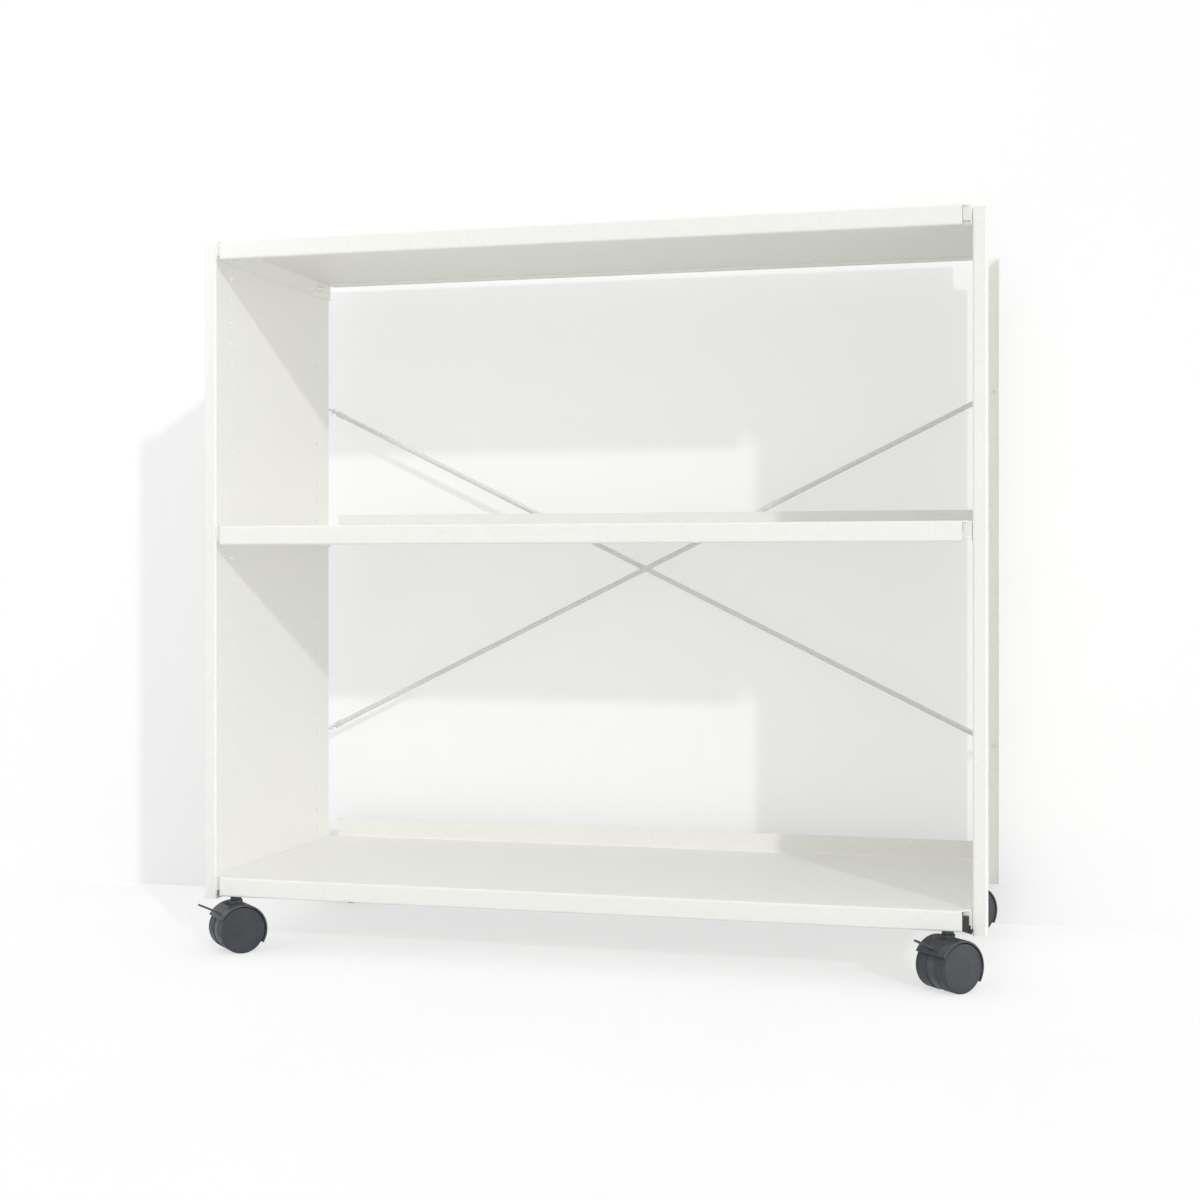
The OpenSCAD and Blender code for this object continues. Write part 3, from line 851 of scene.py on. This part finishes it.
@dataclass
class Castors:
    """The four castors: modelled wheels, and dressed housings and brake levers."""

    stem_x: float = 480 * MM
    stem_y: tuple[float, float] = (0.0, 394 * MM)
    swivel: float = 45.0
    trail: float = 1 * MM
    wheel: Wheel = field(default_factory=Wheel)

    def stand(self, corner: Corner) -> Matrix:
        """A castor's own frame: Z up its stem, X towards the trailing wheels."""
        y = self.stem_y[1] if corner.value[1] > 0 else self.stem_y[0]
        place = Matrix.Translation((corner.value[0] * self.stem_x, y - MID_Y, 0))
        return place @ Matrix.Rotation(math.radians(self.swivel), 4, "Z")

    def axle(self, corner: Corner, side: WheelSide) -> Matrix:
        """A wheel's frame: Z along the axle towards that wheel's face."""
        turn = Matrix.Rotation(math.radians(-90 * side.value), 4, "X")
        return self.stand(corner) @ Matrix.Translation((self.trail, 0, self.wheel.tread_r)) @ turn

    def build(self, wardrobe: Wardrobe) -> None:
        """Models the wheels, copies them to every axle and dresses the castors."""
        disc, tread = self.wheel.disc(), self.wheel.tread()
        for corner in Corner:
            for side in WheelSide:
                tag = f"{corner.label}_{side.label}"
                for model, word, node, finish in ((disc, "wheel_disc", "wheel_core", Finish.DISC),
                                                  (tread, "wheel_band", "wheel_tread", Finish.TREAD)):
                    piece = Bench.copy(model, f"{word}_{tag}", self.axle(corner, side))
                    wardrobe.dress(piece, finish)
                    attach(piece, f"wheel_{tag}")
                    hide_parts(f"{node}_{tag}")
                    log.info("fitted %s", piece.name)
        Bench.scrap(disc)
        Bench.scrap(tread)
        for prefix in ("castor_housing", "brake_lever"):
            wardrobe.dress_nodes(prefix, Finish.HOUSING)


# The studio


@dataclass
class Studio:
    """Camera, floor, wall and lamps."""

    eye: Point = (633.4 * MM, -2300.2 * MM - MID_Y, 514.9 * MM)
    pan: float = 14.579
    lens: float = 54.90
    rise: float = -0.0214
    wall_y: float = 458 * MM - MID_Y
    reach: float = 14.0
    sun_to: Point = (-0.563, 0.736, -0.375)
    sun_strength: float = 0.73
    sun_spread: float = 1.8
    sky: float = 0.76
    floor_z: float = -0.2 * MM
    fills: tuple[tuple[Point, float], ...] = (
        ((0, 1, 0), 0.23), ((-1, 0, 0), 0.51), ((1, 0, 0), 0.1), ((0, 0, 1), 0.04), ((0, 0, -1), 0.39))
    fill_spread: float = 2.0
    bulb_at: Point = (-0.8, -0.7, 1.15)
    bulb_power: float = 1.8
    bulb_size: float = 0.02
    floor_glow: float = 0.55
    wall_glow: float = 0.33

    def camera(self) -> None:
        """Stands the camera where the photograph was taken."""
        data = bpy.data.cameras.new("camera")
        data.lens, data.sensor_width, data.shift_y = self.lens, 36.0, self.rise
        data.clip_start, data.clip_end = 0.05, 50.0
        camera = bpy.data.objects.new("camera", data)
        camera.location = self.eye
        camera.rotation_euler = (math.radians(90), 0, math.radians(self.pan))
        bpy.context.scene.collection.objects.link(camera)
        bpy.context.scene.camera = camera

    def plane(self, name: str, paint: bpy.types.Material, centre: Point, tilt: float) -> None:
        """Adds a large plane of the stage.

        Args:
            name: Its name.
            paint: Its material.
            centre: Its middle.
            tilt: Its turn about X, in degrees.
        """
        Bench.clear()
        bpy.ops.mesh.primitive_plane_add(size=self.reach, location=centre, rotation=(math.radians(tilt), 0, 0))
        plane = bpy.context.object
        plane.name = name
        plane.data.materials.append(paint)
        Bench.settle(plane)

    @staticmethod
    def lamp(name: str, towards: Point, strength: float, spread: float, shadow: bool = True) -> None:
        """Adds a distant lamp.

        Args:
            name: Its name.
            towards: Where its light goes.
            strength: Its power on a square metre that faces it.
            spread: Its apparent width, in degrees.
            shadow: Whether things stop its light.
        """
        sun = bpy.data.lights.new(name, "SUN")
        sun.energy, sun.angle, sun.use_shadow = strength, math.radians(spread), shadow
        lamp = bpy.data.objects.new(name, sun)
        lamp.rotation_euler = Vector(towards).to_track_quat("-Z", "Y").to_euler()
        bpy.context.scene.collection.objects.link(lamp)

    def build(self) -> None:
        """Sets up the floor, the wall and the light."""
        self.plane("floor", StagePaint("floor_white", self.floor_glow).make(), (0, 0, self.floor_z), 0)
        wall = StagePaint("wall_white", self.wall_glow, one_sided=True).make()
        self.plane("wall", wall, (0, self.wall_y, self.reach / 2 + self.floor_z), 90)
        self.lamp("key", self.sun_to, self.sun_strength, self.sun_spread)
        for n, (towards, strength) in enumerate(self.fills):
            self.lamp(f"fill_{n}", towards, strength, self.fill_spread, shadow=False)
        self.bulb()
        self.backdrop()
        bpy.context.scene.view_settings.view_transform = "Standard"

    def bulb(self) -> None:
        """Adds the soft lamp that brightens the top left corner and throws no shadow."""
        data = bpy.data.lights.new("bulb", "POINT")
        data.energy, data.shadow_soft_size, data.use_shadow = self.bulb_power, self.bulb_size, False
        bulb = bpy.data.objects.new("bulb", data)
        bulb.location = self.bulb_at
        bpy.context.scene.collection.objects.link(bulb)

    def backdrop(self) -> None:
        """Sets up the sky, which the camera and glossy surfaces see as plain white."""
        world = bpy.data.worlds.new("soft_sky")
        world.use_nodes = True
        tree = world.node_tree
        path, level = tree.nodes.new("ShaderNodeLightPath"), tree.nodes.new("ShaderNodeMapRange")
        seen = tree.nodes.new("ShaderNodeMath")
        seen.operation = "MAXIMUM"
        tree.links.new(path.outputs["Is Camera Ray"], seen.inputs[0])
        tree.links.new(path.outputs["Is Glossy Ray"], seen.inputs[1])
        level.inputs["To Min"].default_value, level.inputs["To Max"].default_value = self.sky, 1.0
        tree.links.new(seen.outputs[0], level.inputs["Value"])
        tree.links.new(level.outputs["Result"], tree.nodes["Background"].inputs["Strength"])
        tree.nodes["Background"].inputs["Color"].default_value = (1, 1, 1, 1)
        bpy.context.scene.world = world


def main() -> None:
    """Builds the camera, the furniture and the studio."""
    logging.basicConfig(level=logging.INFO, format="%(name)s: %(message)s")
    studio = Studio()
    studio.camera()
    wardrobe = Wardrobe()
    SheetMetal().dress(wardrobe)
    Fasteners().dress(wardrobe)
    Brackets().build(wardrobe)
    CrossBrace().build(wardrobe)
    Castors().build(wardrobe)
    studio.build()


if __name__ == "__main__":
    main()
